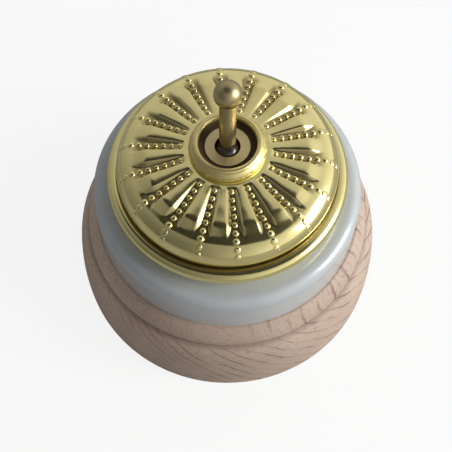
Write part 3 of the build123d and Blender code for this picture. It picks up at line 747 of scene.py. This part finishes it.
def studio_world():
    """A room with its big window on the right, a paler wall behind and a dark figure at the camera."""
    world = bpy.data.worlds.new("studio")
    bpy.context.scene.world = world
    world.use_nodes = True
    tree = world.node_tree
    direction = add(tree, "ShaderNodeTexCoord").outputs["Generated"]
    glows = calc(tree, "ADD", glow(tree, direction, *ROOM_GLOW), glow(tree, direction, *WALL_GLOW))
    window = remap(tree, towards(tree, direction, *WINDOW_AT), *WINDOW_EDGE, 0.0, WINDOW_STRENGTH)
    light = calc(tree, "ADD", glows, calc(tree, "ADD", window, ROOM_BASE))
    light = product(tree, light, calc(tree, "SUBTRACT", 1.0, figure_shade(tree, direction)))
    seen = add(tree, "ShaderNodeLightPath").outputs["Is Camera Ray"]
    colour = blend_colours(tree, seen, (1.0, 1.0, 1.0), (BACKDROP_GREY,) * 3)
    strength = add(tree, "ShaderNodeMix", {0: seen, 2: light, 3: 1.0}).outputs[0]
    tree.links.new(colour, tree.nodes["Background"].inputs["Color"])
    tree.links.new(strength, tree.nodes["Background"].inputs["Strength"])


def floor():
    """Wide pale paper under the part, which keeps the part's shadow."""
    half = FLOOR_HALF
    verts = [(-half, -half, 0), (half, -half, 0), (half, half, 0), (-half, half, 0)]
    obj = new_object("floor", verts, [(0, 1, 2, 3)])
    obj.location.z = -FLOOR_DROP * MM
    material, tree, bsdf = shader("floor_paper")
    bsdf.inputs["Roughness"].default_value = FLOOR_ROUGH
    bsdf.inputs["Specular IOR Level"].default_value = 0.0
    lit = add(tree, "ShaderNodeEmission", {"Color": (1, 1, 1, 1), "Strength": FLOOR_GLOW})
    seen = add(tree, "ShaderNodeLightPath").outputs["Is Camera Ray"]
    paper = blend_colours(tree, seen, (FLOOR_GREY,) * 3, (FLOOR_SEEN_GREY,) * 3)
    tree.links.new(paper, bsdf.inputs["Base Color"])
    share = calc(tree, "MULTIPLY", seen, FLOOR_SHARE)
    mixed = add(tree, "ShaderNodeMixShader", {0: share, 1: bsdf.outputs[0], 2: lit.outputs[0]})
    tree.links.new(mixed.outputs[0], tree.nodes["Material Output"].inputs["Surface"])
    obj.data.materials.append(material)


def add_camera():
    """The photograph's camera."""
    lens = bpy.data.cameras.new("camera")
    lens.lens = CAMERA_LENS
    lens.sensor_width = CAMERA_SENSOR
    lens.clip_start = CAMERA_NEAR * MM
    obj = bpy.data.objects.new("camera", lens)
    bpy.context.scene.collection.objects.link(obj)
    tilt = math.radians(CAMERA_ELEVATION)
    back = Vector((0, -math.cos(tilt), math.sin(tilt)))
    obj.location = Vector(CAMERA_TARGET) * MM + back * CAMERA_DISTANCE * MM
    obj.rotation_mode = "QUATERNION"
    aim = (-back).to_track_quat("-Z", "Y")
    obj.rotation_quaternion = aim @ Quaternion((0, 0, 1), math.radians(CAMERA_ROLL))
    bpy.context.scene.camera = obj


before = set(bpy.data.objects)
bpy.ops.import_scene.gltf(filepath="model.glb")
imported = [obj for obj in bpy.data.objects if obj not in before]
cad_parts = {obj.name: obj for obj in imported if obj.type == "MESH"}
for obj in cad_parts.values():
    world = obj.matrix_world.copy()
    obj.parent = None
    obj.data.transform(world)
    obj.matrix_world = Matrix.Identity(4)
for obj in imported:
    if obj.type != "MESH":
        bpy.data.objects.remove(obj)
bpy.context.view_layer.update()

inner_brass = plain("contact_brass", *CONTACT_BRASS)
steel = plain("zinc_steel", *ZINC_STEEL)
finishes = {
    "wood_pattress": beech(),
    "porcelain_base": porcelain(),
    "ring_nut": nut_brass(),
    "dolly_bush": brass("satin_brass", *SATIN_BRASS),
    "dolly_lever": brass("aged_brass", *AGED_BRASS),
    "dolly_hub": plain("dark_hub", *DARK_HUB),
    "cover_liner": plain("liner_card", *LINER_CARD),
    "rocker_saddle": plain("fibre", *FIBRE),
}
steel_nodes = (
    "toggle_spring bush_locknut dolly_pin rocker_pin bridge_strap bridge_screws bridge_nuts "
    "earth_washer earth_screw base_screws"
).split()
for node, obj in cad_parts.items():
    finish = finishes.get(node, steel if node in steel_nodes else inner_brass)
    obj.data.materials.clear()
    obj.data.materials.append(finish)

cover = pressed_cover()
cover.data.materials.append(pressed_brass())
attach(cover, "base")
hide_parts("brass_cover")

floor()
studio_world()
add_key_lamp()
add_camera()
bpy.context.scene.view_settings.view_transform = "Standard"
